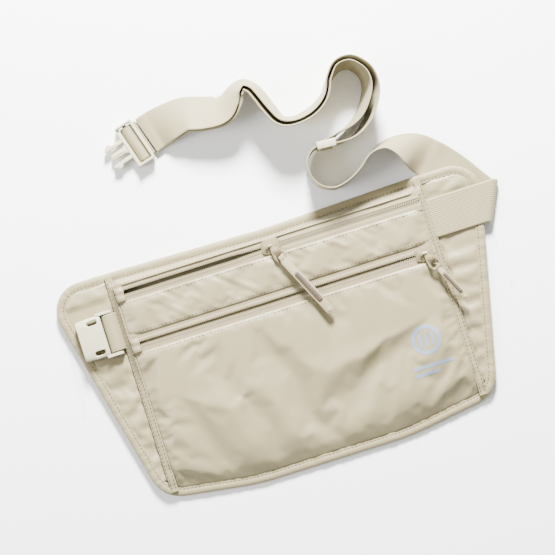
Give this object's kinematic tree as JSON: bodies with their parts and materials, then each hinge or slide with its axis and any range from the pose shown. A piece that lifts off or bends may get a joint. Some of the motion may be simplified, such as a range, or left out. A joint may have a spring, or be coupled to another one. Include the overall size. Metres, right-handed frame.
{
  "type": "money belt",
  "caption": "Flat fabric waist pouch with zipped pockets, side wings, a webbing waist strap and a side-release buckle.",
  "frame": {"origin": "bottom centre of the pouch's bounding box, strap left out", "axes": "+X along the belt towards the sewn-on strap, +Y towards the pouch's top edge, +Z out of its front"},
  "size_m": [0.2918, 0.2495, 0.0295],
  "materials": {
    "cream_nylon": "fine plain-weave nylon with a soft sheen",
    "binding_tape": "folded nylon binding tape, topstitched",
    "zip_tape": "woven zip tape",
    "zip_coil": "nylon coil",
    "webbing": "ribbed flat webbing",
    "buckle_plastic": "smooth moulded acetal",
    "slider_enamel": "enamelled slider",
    "pull_strip": "soft moulded strip",
    "pull_grip": "ribbed moulded grip",
    "print": "flat screen print"
  },
  "bodies": {
    "pouch": {"back_panel": "cream_nylon", "left_wing_panel": "cream_nylon", "right_wing_panel": "cream_nylon", "front_panel": "cream_nylon", "strip_panel": "cream_nylon", "top_facing": "cream_nylon", "divider_lining": "cream_nylon", "edge_binding": "binding_tape", "left_seam_tape": "binding_tape", "right_seam_tape": "binding_tape", "upper_zip_upper_tape": "zip_tape", "upper_zip_lower_tape": "zip_tape", "lower_zip_upper_tape": "zip_tape", "lower_zip_lower_tape": "zip_tape", "upper_zip_upper_coil": "zip_coil", "upper_zip_lower_coil": "zip_coil", "lower_zip_upper_coil": "zip_coil", "lower_zip_lower_coil": "zip_coil", "upper_zip_end_tab": "cream_nylon", "lower_zip_end_tab": "cream_nylon", "printed_mark": "print", "buckle_tab": "webbing", "strap_over_wing": "webbing", "strap_fold": "webbing", "main_strap": "webbing", "return_strap": "webbing", "tri_glide": "buckle_plastic"},
    "upper_slider": {"upper_slider": "slider_enamel", "upper_slider_lug": "slider_enamel"},
    "upper_pull": {"upper_pull_plate": "slider_enamel", "upper_pull_strip": "pull_strip", "upper_pull_grip": "pull_grip"},
    "lower_slider": {"lower_slider": "slider_enamel", "lower_slider_lug": "slider_enamel"},
    "lower_pull": {"lower_pull_plate": "slider_enamel", "lower_pull_strip": "pull_strip", "lower_pull_grip": "pull_grip"},
    "female_buckle": {"female_buckle_housing": "buckle_plastic", "female_buckle_bar": "buckle_plastic"},
    "male_buckle": {"male_buckle_frame": "buckle_plastic", "strap_end_loop": "webbing"},
    "left_latch_arm": {"left_latch_arm": "buckle_plastic"},
    "right_latch_arm": {"right_latch_arm": "buckle_plastic"}
  },
  "joints": [
    {"name": "upper_zip_slide", "type": "slide", "parent": "pouch", "child": "upper_slider", "axis": [1, 0, 0], "range_m": [-0.0905, 0.091]},
    {"name": "upper_pull_lift", "type": "hinge", "parent": "upper_slider", "child": "upper_pull", "pos_m": [0.002, 0.0635, 0.0129], "axis": [-1, 0, 0], "range_deg": [0, 150]},
    {"name": "lower_zip_slide", "type": "slide", "parent": "pouch", "child": "lower_slider", "axis": [1, 0, 0], "range_m": [-0.1815, 0]},
    {"name": "lower_pull_lift", "type": "hinge", "parent": "lower_slider", "child": "lower_pull", "pos_m": [0.093, 0.03, 0.0129], "axis": [-1, 0, 0], "range_deg": [0, 150]},
    {"name": "female_buckle_swing", "type": "hinge", "parent": "pouch", "child": "female_buckle", "pos_m": [-0.109, 0.0413, 0.008], "axis": [0, 1, 0], "range_deg": [0, 75]},
    {"name": "male_buckle_swing", "type": "hinge", "parent": "pouch", "child": "male_buckle", "pos_m": [-0.0539, 0.15339, 0.0032], "axis": [-0.2857, 0.9583, 0], "range_deg": [0, 60]},
    {"name": "left_latch_squeeze", "type": "hinge", "parent": "male_buckle", "child": "left_latch_arm", "pos_m": [-0.06466, 0.14433, 0.0036], "axis": [0, 0, -1], "range_deg": [0, 8], "stiffness_Nm_per_rad": 0.3},
    {"name": "right_latch_squeeze", "type": "hinge", "parent": "male_buckle", "child": "right_latch_arm", "pos_m": [-0.06786, 0.15507, 0.0036], "axis": [0, 0, 1], "range_deg": [0, 8], "stiffness_Nm_per_rad": 0.3}
  ]
}
